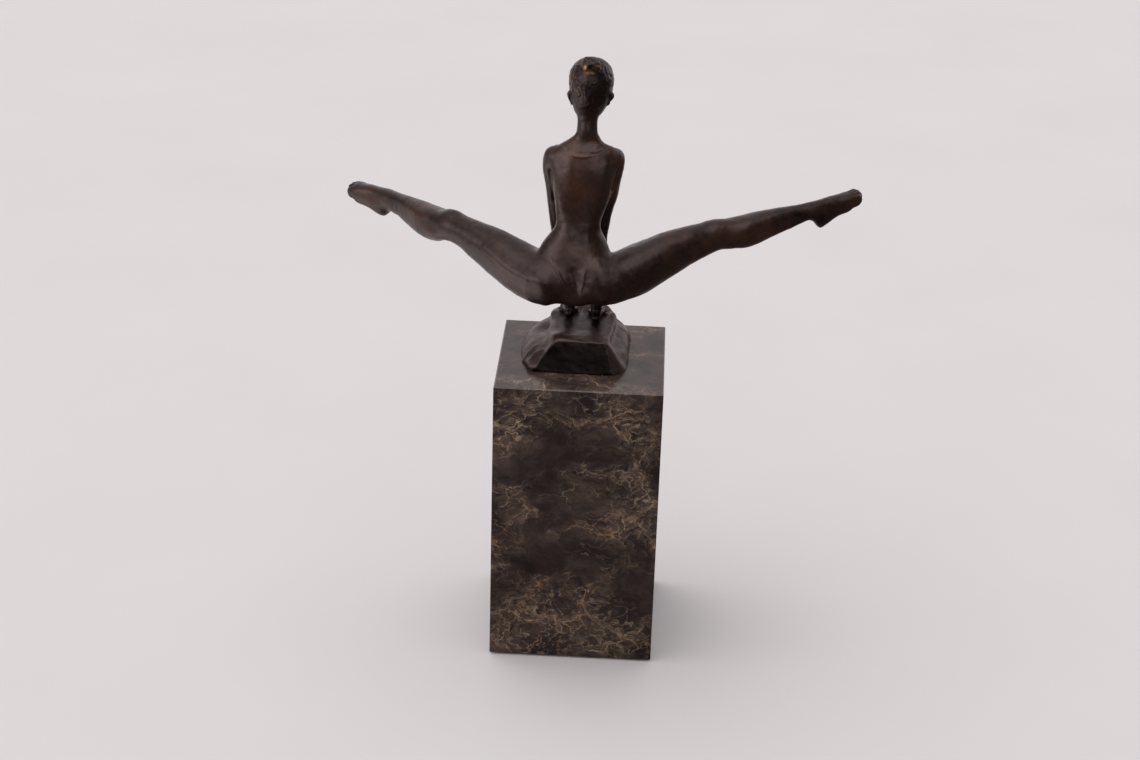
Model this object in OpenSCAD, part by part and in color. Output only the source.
// Bronze gymnast in a straddle hold on a rock, bolted to a square stone plinth
// Millimetres, +Z up, origin under the middle of the plinth; the figure faces -Y, so its left is +X

/* [Plinth] */
// Side of the square stone plinth
plinth_w = 100; // [90:1:130]
// Height of the stone plinth
plinth_h = 182.5; // [120:0.5:240]
// Bevel along every edge of the plinth
plinth_bevel = 0.7; // [0.3:0.1:2]
// Thickness of the felt under the plinth
felt_t = 1; // [0.5:0.1:3]
// How far the felt stays inside the plinth's edge
felt_inset = 2; // [1:0.5:6]

/* [Fixing] */
// Diameter of the threaded stud
stud_d = 6; // [4:0.5:8]
// Radial play of the stud in the plinth
stud_play = 1.5; // [0.5:0.1:3]
// Radial gap left for the thread in the nut and the rock's boss
thread_gap = 0.05; // [0.02:0.01:0.2]
// Depth of the stud in the rock's boss
stud_grip = 9; // [6:0.5:11]
// Stud left showing below the nut
stud_tail = 2; // [1:0.5:4]
// Diameter of the recess for the nut
recess_d = 26; // [24:1:40]
// Depth of the recess for the nut
recess_depth = 16; // [12:1:30]
// Outer diameter of the washer
washer_d = 18; // [14:0.5:22]
// Thickness of the washer
washer_t = 1.6; // [1:0.1:3]
// Width of the nut across its flats
nut_af = 10; // [9:0.5:15]
// Thickness of the nut
nut_t = 5; // [3:0.5:7]

/* [Rock] */
// Width of the rock at its foot
rock_w = 65; // [55:1:75]
// Depth of the rock at its foot
rock_depth = 68; // [60:1:75]
// Height of the rock
rock_h = 18.5; // [16:0.5:28]
// Sideways drift of the rock's top
rock_drift = 2.6; // [0:0.2:4]
// Wall of the hollow rock casting
rock_wall = 4; // [3:0.25:6]
// Diameter of the boss that takes the stud
boss_d = 16; // [13:0.5:22]
// Distance of the broken face behind the middle of the rock
cliff_y = 32; // [26:0.5:33]
// Backward lean of the broken face, in degrees
cliff_lean = 21; // [12:1:28]

/* [Torso] */
// Height of the crotch above the rock
lift = 16.5; // [10:0.5:26]
// Length from the crotch to the neck joint
torso_len = 104; // [94:1:116]
// Width of the pelvis
hip_w = 44; // [39:0.5:48]
// Width of the waist
waist_w = 27.5; // [24:0.5:32]
// Width of the rib cage
chest_w = 36; // [32:0.5:40]
// Depth of the trunk at the chest
chest_depth = 22.5; // [19:0.5:26]
// Forward lean of the trunk from crotch to neck
trunk_lean = 13; // [6:0.5:18]
// Sideways drift of the trunk from crotch to neck
trunk_drift = 4; // [0:0.5:8]
// Sideways swing of the pelvis
hip_swing = 2.5; // [0:0.25:4]

/* [Head] */
// Height from the neck joint to the crown
head_h = 44; // [39:0.5:50]
// Width of the skull
head_w = 25.5; // [22:0.5:29]
// Length of the skull from brow to nape
head_len = 28.5; // [25:0.5:32]
// Width of the neck
neck_w = 12.4; // [10.5:0.2:15]
// Diameter of the hair knot
knot_d = 9.5; // [7:0.5:12]

/* [Arms] */
// Distance between the middles of the two upper arms
shoulder_span = 35; // [33:0.5:40]
// Radius of the shoulder
shoulder_r = 6.4; // [5.5:0.1:7.5]
// Radius of the elbow
elbow_r = 4.2; // [3.6:0.1:5]
// Half the width of the wrist
wrist_r = 3.5; // [3:0.1:4.4]
// Distance between the two wrists
wrist_span = 16.4; // [14.5:0.2:20]
// Sideways bow of both elbows
elbow_bow = 2.6; // [0:0.2:4]
// Forward bow of both elbows
elbow_reach = 4.4; // [0:0.2:5]
// Gap where the lower arm presses a hollow into the thigh
arm_gap = 0.1; // [0.05:0.01:0.3]
// Length of the hand from heel to fingertip
hand_len = 15.5; // [13:0.5:18]

/* [Legs] */
// Distance between the hip joints
hip_span = 28; // [24:0.5:32]
// Length from hip to knee
thigh_len = 81; // [70:1:92]
// Length from knee to ankle
shin_len = 65; // [56:1:75]
// Length from ankle to toe
foot_len = 36.5; // [31:0.5:43]
// Radius of the thigh at its root
thigh_r = 16; // [14:0.25:18]
// Radius of the knee
knee_r = 9; // [7.5:0.25:10.5]
// Depth of the calf behind the shin bone
calf_r = 11; // [9:0.25:12.5]
// Radius of the ankle
ankle_r = 5; // [4.2:0.1:6]
// Half the width of the foot across its ball
foot_r = 7; // [6:0.1:8]

/* [Joints] */
// Distance of the leg joint from the hip
leg_joint_at = 26; // [22:0.5:32]
// Diameter of the legs' spigots
leg_spigot_d = 10; // [7:0.5:13]
// Diameter of the arms' and neck's spigots
small_spigot_d = 4.5; // [3.5:0.25:5.5]
// Length of the legs' spigots
leg_spigot_len = 10; // [6:0.5:13]
// Length of the arms' and neck's spigots
small_spigot_len = 6; // [4:0.5:8]
// Radial clearance round each spigot and pin
spigot_gap = 0.1; // [0.05:0.01:0.2]
// Diameter of the pins between hands and rock
pin_d = 2.5; // [2:0.1:3]
// Length of the pins between hands and rock
pin_len = 7; // [5:0.25:7.5]

/* [Hidden] */
$fn = 48;

LEFT = 1;
RIGHT = -1;
BACK = [0, 1, 0];
UP = [0, 0, 1];
bronze = [0.23, 0.17, 0.13];
stone = [0.17, 0.14, 0.12];
steel = [0.62, 0.63, 0.65];
felt = [0.10, 0.16, 0.11];

// Heights of the stacked pieces
plinth_z = felt_t;
rock_z = plinth_z + plinth_h;
recess_z = plinth_z + recess_depth;
hand_z = rock_z + rock_h;
crotch_z = hand_z + lift;
neck_z = crotch_z + torso_len;

// Places of the figure over the plinth, the hands right then left
rock_xy = rock_w * [0.046, -0.077];
crotch_xy = torso_len * [0.053, 0.029];
hand_xy = torso_len * [[0.01, -0.14], [0.01, -0.173]];
neck_xy = crotch_xy + [-trunk_drift, -trunk_lean];
shoulder_z = crotch_z + 0.835 * torso_len;
shoulder_xy = torso_len * [0.029, -0.115];
hip_z = crotch_z + 0.152 * torso_len;

// Directions of the legs: forward sweep from straight sideways and rise above level, in degrees
thigh_turn = [[30, 11], [35, 8.5]];
shin_turn = [[24, 9], [48, 0]];
foot_turn = [[33, 8.5], [39, -3.5]];

// Where the arm joint crosses the arm, as a share of the way from shoulder to wrist
arm_joint_at = 0.32;
// Rings between two stations of a loft
ring_steps = 2;
torso_sides = 32;
leg_sides = 20;
arm_sides = 14;
head_sides = 42;
head_steps = 3;
rock_sides = 32;

function unit(v) = v / norm(v);
function side_of(side) = side == LEFT ? 1 : 0;
function bell(x, width) = exp(-x * x / (width * width));
function signed_power(x, e) = sign(x) * pow(abs(x), e);
function heading(turn, side) =
    [side * cos(turn[0]) * cos(turn[1]), -sin(turn[0]) * cos(turn[1]), sin(turn[1])];

// Smooth curve through a list of vectors: u counts the stations from 0
function spline(p, u) =
    let (i = max(0, min(floor(u), len(p) - 2)), t = u - i, b = p[i], c = p[i + 1],
         a = i > 0 ? p[i - 1] : 2 * b - c, d = i + 2 < len(p) ? p[i + 2] : 2 * c - b)
    b + t / 2 * (c - a + t * (2 * a - 5 * b + 4 * c - d + t * (3 * (b - c) + d - a)));
function place(s) = [s[0], s[1], s[2]];
function tangent(p, u) = unit(place(spline(p, u + 0.01)) - place(spline(p, u - 0.01)));

// One cross-section: a station is [x, y, z, half width, reach up, reach down, furrow],
// where up is the side that the reference vector points to and the furrow dents that side
function ring(s, dir, up, sides) =
    let (w = unit(cross(up, dir)), v = cross(dir, w))
    [for (k = [0 : sides - 1])
        let (q = 360 * k / sides, c = cos(q), n = sin(q),
             reach = n > 0 ? s[4] - s[6] * bell(c, 0.3) : s[5])
        place(s) + w * s[3] * c + v * reach * n];
function loft(stations, up, sides, from, to) =
    let (count = ceil((to - from) * ring_steps))
    [for (j = [0 : count])
        let (u = from + (to - from) * j / count)
        ring(spline(stations, u), tangent(stations, u), up, sides)];
// The same with every ring level
function stack(stations, sides, steps) =
    [for (j = [0 : steps * (len(stations) - 1)])
        ring(spline(stations, j / steps), UP, BACK, sides)];

// Closed solid over a stack of rings with equal numbers of points
module skin(rings) {
    n = len(rings[0]);
    m = len(rings);
    walls = [for (j = [0 : m - 2], k = [0 : n - 1])
        let (a = j * n + k, b = j * n + (k + 1) % n)
        each [[a, a + n, b + n], [a, b + n, b]]];
    foot = [for (k = [1 : n - 2]) [0, k, k + 1]];
    top = [for (k = [1 : n - 2]) [(m - 1) * n, (m - 1) * n + k + 1, (m - 1) * n + k]];
    polyhedron([for (r = rings) each r], concat(walls, foot, top));
}

// Turns +Z onto a direction at a place
module aim(at, dir) {
    translate(at)
        rotate([0, acos(dir[2]), atan2(dir[1], dir[0])])
            children();
}

// Trunk from the crotch to the neck joint: shares of the length, then half width, back and front
function trunk_station(share, width, back, front, furrow) =
    let (shift = pow(share, 0.8), swing = hip_swing * bell(share - 0.28, 0.15))
    [crotch_xy[0] - trunk_drift * shift + swing, crotch_xy[1] - trunk_lean * shift,
     crotch_z + share * torso_len, width / 2, back, front, furrow];
trunk = [
    trunk_station(0.010, 0.34 * hip_w, 0.28 * chest_depth, 0.26 * chest_depth, 0),
    trunk_station(0.030, 0.60 * hip_w, 0.44 * chest_depth, 0.38 * chest_depth, 0.3),
    trunk_station(0.075, 0.84 * hip_w, 0.57 * chest_depth, 0.47 * chest_depth, 0.8),
    trunk_station(0.150, 0.96 * hip_w, 0.64 * chest_depth, 0.50 * chest_depth, 1.2),
    trunk_station(0.230, 1.00 * hip_w, 0.64 * chest_depth, 0.51 * chest_depth, 1.2),
    trunk_station(0.320, 0.98 * hip_w, 0.56 * chest_depth, 0.49 * chest_depth, 0.5),
    trunk_station(0.385, 0.84 * hip_w, 0.48 * chest_depth, 0.46 * chest_depth, 0.7),
    trunk_station(0.440, 0.30 * hip_w + 0.60 * waist_w, 0.43 * chest_depth, 0.44 * chest_depth, 0.9),
    trunk_station(0.500, waist_w, 0.40 * chest_depth, 0.42 * chest_depth, 1.0),
    trunk_station(0.600, 0.55 * waist_w + 0.42 * chest_w, 0.42 * chest_depth, 0.46 * chest_depth, 1.1),
    trunk_station(0.690, 0.96 * chest_w, 0.47 * chest_depth, 0.54 * chest_depth, 1.2),
    trunk_station(0.770, 1.02 * chest_w, 0.50 * chest_depth, 0.55 * chest_depth, 1.1),
    trunk_station(0.840, 1.03 * chest_w, 0.47 * chest_depth, 0.47 * chest_depth, 0.8),
    trunk_station(0.900, 1.02 * chest_w, 0.39 * chest_depth, 0.37 * chest_depth, 0.3),
    trunk_station(0.930, 0.84 * chest_w, 0.34 * chest_depth, 0.32 * chest_depth, 0),
    trunk_station(0.958, 0.30 * chest_w + 0.78 * neck_w, 0.55 * neck_w, 0.55 * neck_w, 0),
    trunk_station(0.980, 1.18 * neck_w, 0.51 * neck_w, 0.50 * neck_w, 0),
    trunk_station(1.000, 1.00 * neck_w, 0.48 * neck_w, 0.47 * neck_w, 0)
];

// Leg from the hip inside the pelvis to the toe, knee and shin bone upward
function hip_at(side) = [crotch_xy[0] + side * hip_span / 2, crotch_xy[1] + 0.094 * thigh_r, hip_z];
function knee_at(side) = hip_at(side) + thigh_len * heading(thigh_turn[side_of(side)], side);
function ankle_at(side) = knee_at(side) + shin_len * heading(shin_turn[side_of(side)], side);
function toe_at(side) = ankle_at(side) + foot_len * heading(foot_turn[side_of(side)], side);
function leg_station(a, b, share, width, front, back) =
    concat(a + share * (b - a), [width, front, back, 0]);
function leg(side) =
    let (hip = hip_at(side), knee = knee_at(side), ankle = ankle_at(side), toe = toe_at(side),
         root = [crotch_xy[0] + side * 0.1 * hip_span, crotch_xy[1], hip_z],
         joint = leg_joint_at / thigh_len)
    [leg_station(root, hip, 0.00, 0.45 * thigh_r, 0.40 * thigh_r, 0.60 * thigh_r),
     leg_station(hip, knee, 0.00, 0.90 * thigh_r, 0.74 * thigh_r, 0.94 * thigh_r),
     leg_station(hip, knee, 0.5 * joint, 0.96 * thigh_r, 0.77 * thigh_r, 1.04 * thigh_r),
     leg_station(hip, knee, joint, 0.94 * thigh_r, 0.78 * thigh_r, 1.04 * thigh_r),
     leg_station(hip, knee, 0.50, 0.81 * thigh_r, 0.76 * thigh_r, 0.85 * thigh_r),
     leg_station(hip, knee, 0.72, 0.65 * thigh_r, 0.64 * thigh_r, 0.65 * thigh_r),
     leg_station(hip, knee, 0.88, 1.02 * knee_r, 0.98 * knee_r, 0.92 * knee_r),
     leg_station(hip, knee, 0.96, 1.00 * knee_r, 1.06 * knee_r, 0.86 * knee_r),
     leg_station(knee, ankle, 0.02, 0.99 * knee_r, 1.05 * knee_r, 0.86 * knee_r),
     leg_station(knee, ankle, 0.11, 0.96 * knee_r, 0.88 * knee_r, 0.90 * calf_r),
     leg_station(knee, ankle, 0.26, 0.88 * calf_r, 0.74 * knee_r, 1.03 * calf_r),
     leg_station(knee, ankle, 0.42, 0.80 * calf_r, 0.68 * knee_r, 0.92 * calf_r),
     leg_station(knee, ankle, 0.64, 0.58 * calf_r, 1.18 * ankle_r, 0.62 * calf_r),
     leg_station(knee, ankle, 0.84, 1.02 * ankle_r, 1.03 * ankle_r, 1.04 * ankle_r),
     leg_station(knee, ankle, 0.97, 1.08 * ankle_r, 1.00 * ankle_r, 1.25 * ankle_r),
     leg_station(ankle, toe, 0.07, 1.10 * ankle_r, 0.98 * ankle_r, 2.10 * ankle_r),
     leg_station(ankle, toe, 0.18, 1.06 * ankle_r, 0.96 * ankle_r, 2.16 * ankle_r),
     leg_station(ankle, toe, 0.32, 1.08 * ankle_r, 0.96 * ankle_r, 1.60 * ankle_r),
     leg_station(ankle, toe, 0.52, 0.88 * foot_r, 0.94 * ankle_r, 1.12 * ankle_r),
     leg_station(ankle, toe, 0.74, 1.00 * foot_r, 0.86 * ankle_r, 0.96 * ankle_r),
     leg_station(ankle, toe, 0.90, 0.90 * foot_r, 0.74 * ankle_r, 0.76 * ankle_r),
     leg_station(ankle, toe, 0.975, 0.64 * foot_r, 0.54 * ankle_r, 0.50 * ankle_r),
     leg_station(ankle, toe, 1.00, 0.25 * foot_r, 0.20 * ankle_r, 0.18 * ankle_r)];
leg_joint_u = 3;

// Arm from inside the chest over the shoulder to the wrist, then the hand flat on the rock
function shoulder_at(side) = [shoulder_xy[0] + side * shoulder_span / 2, shoulder_xy[1], shoulder_z];
function heel_at(side) =
    [hand_xy[side_of(side)][0] + side * wrist_span / 2, hand_xy[side_of(side)][1], hand_z];
function wrist_at(side) = heel_at(side) + [0, 0, 1.9 * wrist_r];
function arm_station(side, share, width, front, back) =
    concat(shoulder_at(side) + share * (wrist_at(side) - shoulder_at(side))
               + 4 * share * (1 - share) * [elbow_bow, -elbow_reach, 0],
           [width, front, back, 0]);
function arm(side) =
    [arm_station(side, -0.073, 0.18 * shoulder_r, 0.18 * shoulder_r, 0.18 * shoulder_r),
     arm_station(side, -0.062, 0.55 * shoulder_r, 0.55 * shoulder_r, 0.55 * shoulder_r),
     arm_station(side, -0.030, 0.88 * shoulder_r, 0.88 * shoulder_r, 0.88 * shoulder_r),
     arm_station(side, 0.030, 1.01 * shoulder_r, 1.02 * shoulder_r, 1.02 * shoulder_r),
     arm_station(side, 0.120, 0.96 * shoulder_r, 1.00 * shoulder_r, 1.00 * shoulder_r),
     arm_station(side, arm_joint_at, 0.78 * shoulder_r, 0.82 * shoulder_r, 0.82 * shoulder_r),
     arm_station(side, 0.42, 1.10 * elbow_r, 1.16 * elbow_r, 1.16 * elbow_r),
     arm_station(side, 0.52, elbow_r, 1.02 * elbow_r, 1.06 * elbow_r),
     arm_station(side, 0.64, 1.12 * elbow_r, 1.05 * elbow_r, 1.05 * elbow_r),
     arm_station(side, 0.80, 1.08 * wrist_r, 0.98 * wrist_r, 0.98 * wrist_r),
     arm_station(side, 0.94, wrist_r, 0.82 * wrist_r, 0.82 * wrist_r),
     arm_station(side, 1.03, 1.10 * wrist_r, 0.82 * wrist_r, 0.82 * wrist_r)];
arm_joint_u = 5;
arm_elbow_u = 6;
function grown(stations, gap) =
    [for (s = stations) concat(place(s), [s[3] + gap, s[4] + gap, s[5] + gap, s[6]])];

// Hand: a palm and five fingers, each swept between two balls
finger_spread = [2, 12, 22, 34];
finger_reach = [0.93, 1.00, 0.96, 0.84];
finger_r = 1.35;
thumb_turn = -36;
thumb_reach = 0.62;
palm_share = 0.50;
hand_facets = 12;
// Fingers fan from the heel of the hand, straight ahead and outward on the figure's own side
function finger_tip(side, turn, reach) =
    heel_at(side) + [0, 0, finger_r] + reach * hand_len * [side * sin(turn), -cos(turn), 0];
module ball(at, r) {
    translate(at)
        sphere(r, $fn = hand_facets);
}
module hand(side) {
    heel = wrist_at(side) - [0, 0, wrist_r];
    hull() {
        ball(heel, 1.02 * wrist_r);
        for (turn = finger_spread)
            ball(finger_tip(side, turn, palm_share) + [0, 0, 0.4 * finger_r], 1.3 * finger_r);
    }
    for (k = [0 : 3])
        hull() {
            ball(finger_tip(side, finger_spread[k], palm_share) + [0, 0, 0.3 * finger_r], 1.1 * finger_r);
            ball(finger_tip(side, finger_spread[k], finger_reach[k]), finger_r);
        }
    hull() {
        ball(heel, 0.7 * wrist_r);
        ball(finger_tip(side, thumb_turn, thumb_reach), 1.1 * finger_r);
    }
}

// Head and neck: radii from an axis through the neck, then bumps for nose, lips, chin and eyes
head_shift = head_len * [-0.042, -0.105];
head_axis = neck_xy + head_shift;
function head_station(share, width, front, back) =
    let (shift = min(1, share / 0.25))
    [neck_xy[0] + head_shift[0] * shift, neck_xy[1] + head_shift[1] * shift, neck_z + share * head_h,
     width / 2, back, front, 0];
head_profile = [
    head_station(0.000, neck_w, 0.47 * neck_w, 0.48 * neck_w),
    head_station(0.100, 0.95 * neck_w, 0.45 * neck_w, 0.47 * neck_w),
    head_station(0.180, 0.98 * neck_w, 0.48 * neck_w, 0.49 * neck_w),
    head_station(0.225, 0.54 * head_w, 0.32 * head_len, 0.24 * head_len),
    head_station(0.270, 0.66 * head_w, 0.42 * head_len, 0.28 * head_len),
    head_station(0.340, 0.77 * head_w, 0.455 * head_len, 0.34 * head_len),
    head_station(0.440, 0.87 * head_w, 0.455 * head_len, 0.43 * head_len),
    head_station(0.540, 0.95 * head_w, 0.455 * head_len, 0.50 * head_len),
    head_station(0.640, 0.99 * head_w, 0.455 * head_len, 0.54 * head_len),
    head_station(0.740, 1.00 * head_w, 0.455 * head_len, 0.545 * head_len),
    head_station(0.840, 0.92 * head_w, 0.40 * head_len, 0.50 * head_len),
    head_station(0.920, 0.73 * head_w, 0.30 * head_len, 0.40 * head_len),
    head_station(0.975, 0.44 * head_w, 0.18 * head_len, 0.25 * head_len),
    head_station(1.000, 0.12 * head_w, 0.05 * head_len, 0.07 * head_len)
];
// Outward bump in shares of the skull's length: q is the angle off the nose, h the height share
function face(q, h) =
    0.085 * bell(q, 11) * bell(h - 0.455, 0.050) + 0.045 * bell(q, 8) * bell(h - 0.530, 0.06)
    + 0.022 * bell(q, 16) * bell(h - 0.365, 0.022) + 0.030 * bell(q, 18) * bell(h - 0.275, 0.035)
    - 0.040 * (bell(q - 26, 11) + bell(q + 26, 11)) * bell(h - 0.565, 0.040)
    + 0.018 * (bell(q - 22, 14) + bell(q + 22, 14)) * bell(h - 0.630, 0.030);
// Points of a head ring crowd round the nose
function head_ring(u) =
    let (s = spline(head_profile, u), h = (s[2] - neck_z) / head_h)
    [for (k = [0 : head_sides - 1])
        let (t = 2 * k / head_sides - 1, off = 180 * t * (0.5 + 0.5 * abs(t)), q = off - 90,
             grow = head_len * face(off, h), reach = sin(q) > 0 ? s[4] : s[5] + grow)
        [s[0] + s[3] * cos(q), s[1] + reach * sin(q), s[2]]];
ear_z = neck_z + 0.475 * head_h;

module ear(side) {
    at = [head_axis[0] + side * 0.415 * head_w, head_axis[1] + 0.06 * head_len, ear_z];
    hull() {
        translate(at + [side * 0.055 * head_w, 0.070 * head_len, 0.050 * head_h])
            sphere(0.045 * head_len, $fn = hand_facets);
        translate(at + [side * 0.020 * head_w, -0.02 * head_len, 0.055 * head_h])
            sphere(0.045 * head_len, $fn = hand_facets);
        translate(at + [0, 0.02 * head_len, -0.080 * head_h])
            sphere(0.040 * head_len, $fn = hand_facets);
    }
}

// Spigot that stands back from a limb's joint face into the torso, and its socket
module spigot(at, dir, d, length) {
    aim(at - length * dir, dir)
        cylinder(h = length + 1, d = d);
}
module socket(at, dir, d, length) {
    aim(at - (length + 2 * spigot_gap) * dir, dir)
        cylinder(h = length + 2 * spigot_gap + 1, d = d + 2 * spigot_gap);
}
function leg_joint(side) = place(leg(side)[leg_joint_u]);
function leg_aim(side) = tangent(leg(side), leg_joint_u);
function arm_joint(side) = place(arm(side)[arm_joint_u]);
function arm_aim(side) = tangent(arm(side), arm_joint_u);
neck_joint = place(trunk[len(trunk) - 1]);

// Pins stand upright, half in the palm of each hand and half in the rock
function pin_at(side) =
    let (palm = finger_tip(side, finger_spread[1], 0.2))
    [palm[0], palm[1], hand_z - pin_len / 2];
module pins(d, length) {
    for (side = [LEFT, RIGHT])
        translate(pin_at(side) - [0, 0, (length - pin_len) / 2])
            cylinder(h = length, d = d);
}

module felt_pad() {
    side = plinth_w - 2 * felt_inset;
    color(felt)
        translate([-side / 2, -side / 2, 0])
            cube([side, side, felt_t]);
}

module plinth() {
    inner = plinth_w - 2 * plinth_bevel;
    color(stone)
        difference() {
            translate([0, 0, plinth_z + plinth_h / 2])
                hull() {
                    cube([plinth_w, plinth_w, plinth_h - 2 * plinth_bevel], center = true);
                    cube([inner, inner, plinth_h], center = true);
                }
            translate([0, 0, plinth_z - 1])
                cylinder(h = plinth_h + 2, d = stud_d + 2 * stud_play);
            translate([0, 0, plinth_z - 1])
                cylinder(h = recess_depth + 1, d = recess_d);
        }
}

module fixing_stud() {
    foot = recess_z - washer_t - nut_t - stud_tail;
    color(steel)
        translate([0, 0, foot])
            cylinder(h = rock_z + stud_grip - foot, d = stud_d);
}

module fixing_washer() {
    color(steel)
        translate([0, 0, recess_z - washer_t])
            difference() {
                cylinder(h = washer_t, d = washer_d);
                translate([0, 0, -1])
                    cylinder(h = washer_t + 2, d = stud_d + 4 * thread_gap);
            }
}

module fixing_nut() {
    color(steel)
        translate([0, 0, recess_z - washer_t - nut_t])
            difference() {
                cylinder(h = nut_t, d = nut_af / cos(30), $fn = 6);
                translate([0, 0, -1])
                    cylinder(h = nut_t + 2, d = stud_d + 2 * thread_gap);
            }
}

// Rock: a flared mound of rings, broken off flat behind, hollow below with a boss for the stud
// Each level holds the share of the height, the shares of width and depth, and the roundness
rock_levels = [
    [0, 1.00, 1.00, 0.36],
    [0.10, 0.97, 1.00, 0.40],
    [0.30, 0.88, 0.99, 0.46],
    [0.55, 0.77, 0.97, 0.50],
    [0.80, 0.66, 0.95, 0.54],
    [0.94, 0.59, 0.92, 0.58],
    [1, 0.50, 0.87, 0.62]
];
function rock_outline(q, share) =
    1 + 0.035 * cos(3 * q + 40) + 0.03 * cos(5 * q + 10 + 90 * share) + 0.02 * cos(8 * q - 60 * share);
function rock_ring(level, inset) =
    [for (k = [0 : rock_sides - 1])
        let (q = 360 * k / rock_sides, r = rock_outline(q, level[0]) / 2,
             e = level[3] + (q > 180 ? 0.15 * level[0] : 0))
        [rock_xy[0] - rock_drift * level[0] + (rock_w * level[1] * r - inset) * signed_power(cos(q), e),
         rock_xy[1] + (rock_depth * level[2] * r - inset) * signed_power(sin(q), e),
         rock_z + max(0, level[0] * rock_h - inset)]];
module cliff(inset) {
    translate([rock_xy[0], rock_xy[1] + cliff_y - inset, rock_z])
        rotate([cliff_lean, 0, -1])
            translate([-rock_w, 0, -rock_h])
                cube([2 * rock_w, rock_depth, 4 * rock_h]);
}
module rock() {
    color(bronze)
        difference() {
            skin([for (level = rock_levels) rock_ring(level, 0)]);
            cliff(0);
            difference() {
                translate([0, 0, -1])
                    skin([for (level = rock_levels) rock_ring(level, rock_wall)]);
                cliff(rock_wall);
                translate([0, 0, rock_z - 2])
                    cylinder(h = rock_h, d = boss_d);
            }
            translate([0, 0, rock_z - 1])
                cylinder(h = stud_grip + 1.5, d = stud_d + 2 * thread_gap);
            pins(pin_d + 2 * spigot_gap, pin_len + 2 * spigot_gap);
        }
}

module hand_pins() {
    color(bronze)
        pins(pin_d, pin_len);
}

module torso() {
    color(bronze)
        difference() {
            union() {
                skin(stack(trunk, torso_sides, ring_steps));
                for (side = [LEFT, RIGHT]) {
                    skin(loft(leg(side), UP, leg_sides, 0, leg_joint_u));
                    skin(loft(arm(side), BACK, arm_sides, 0, arm_joint_u));
                }
            }
            for (side = [LEFT, RIGHT]) {
                socket(leg_joint(side), leg_aim(side), leg_spigot_d, leg_spigot_len);
                socket(arm_joint(side), arm_aim(side), small_spigot_d, small_spigot_len);
                skin(loft(grown(arm(side), arm_gap), BACK, arm_sides, arm_elbow_u, len(arm(side)) - 1));
            }
            socket(neck_joint, UP, small_spigot_d, small_spigot_len);
        }
}

module head() {
    color(bronze) {
        skin([for (j = [0 : head_steps * (len(head_profile) - 1)]) head_ring(j / head_steps)]);
        spigot(neck_joint, UP, small_spigot_d, small_spigot_len);
        for (side = [LEFT, RIGHT])
            ear(side);
        translate([head_axis[0], head_axis[1] + 0.22 * head_len, neck_z + 0.81 * head_h])
            rotate([-40, 0, 0])
                cylinder(h = 0.19 * head_h, d1 = 1.25 * knot_d, d2 = 0.9 * knot_d);
    }
}

module arm_piece(side) {
    difference() {
        union() {
            skin(loft(arm(side), BACK, arm_sides, arm_joint_u, len(arm(side)) - 1));
            spigot(arm_joint(side), arm_aim(side), small_spigot_d, small_spigot_len);
            difference() {
                hand(side);
                translate(heel_at(side) - [0, 0, hand_len / 2])
                    cube([4 * hand_len, 4 * hand_len, hand_len], center = true);
            }
        }
        pins(pin_d + 2 * spigot_gap, pin_len + 2 * spigot_gap);
    }
}
module arm_left() {
    color(bronze)
        arm_piece(LEFT);
}
module arm_right() {
    color(bronze)
        arm_piece(RIGHT);
}

module leg_piece(side) {
    skin(loft(leg(side), UP, leg_sides, leg_joint_u, len(leg(side)) - 1));
    spigot(leg_joint(side), leg_aim(side), leg_spigot_d, leg_spigot_len);
}
module leg_left() {
    color(bronze)
        leg_piece(LEFT);
}
module leg_right() {
    color(bronze)
        leg_piece(RIGHT);
}

felt_pad();
plinth();
fixing_stud();
fixing_washer();
fixing_nut();
rock();
hand_pins();
torso();
head();
arm_left();
arm_right();
leg_left();
leg_right();
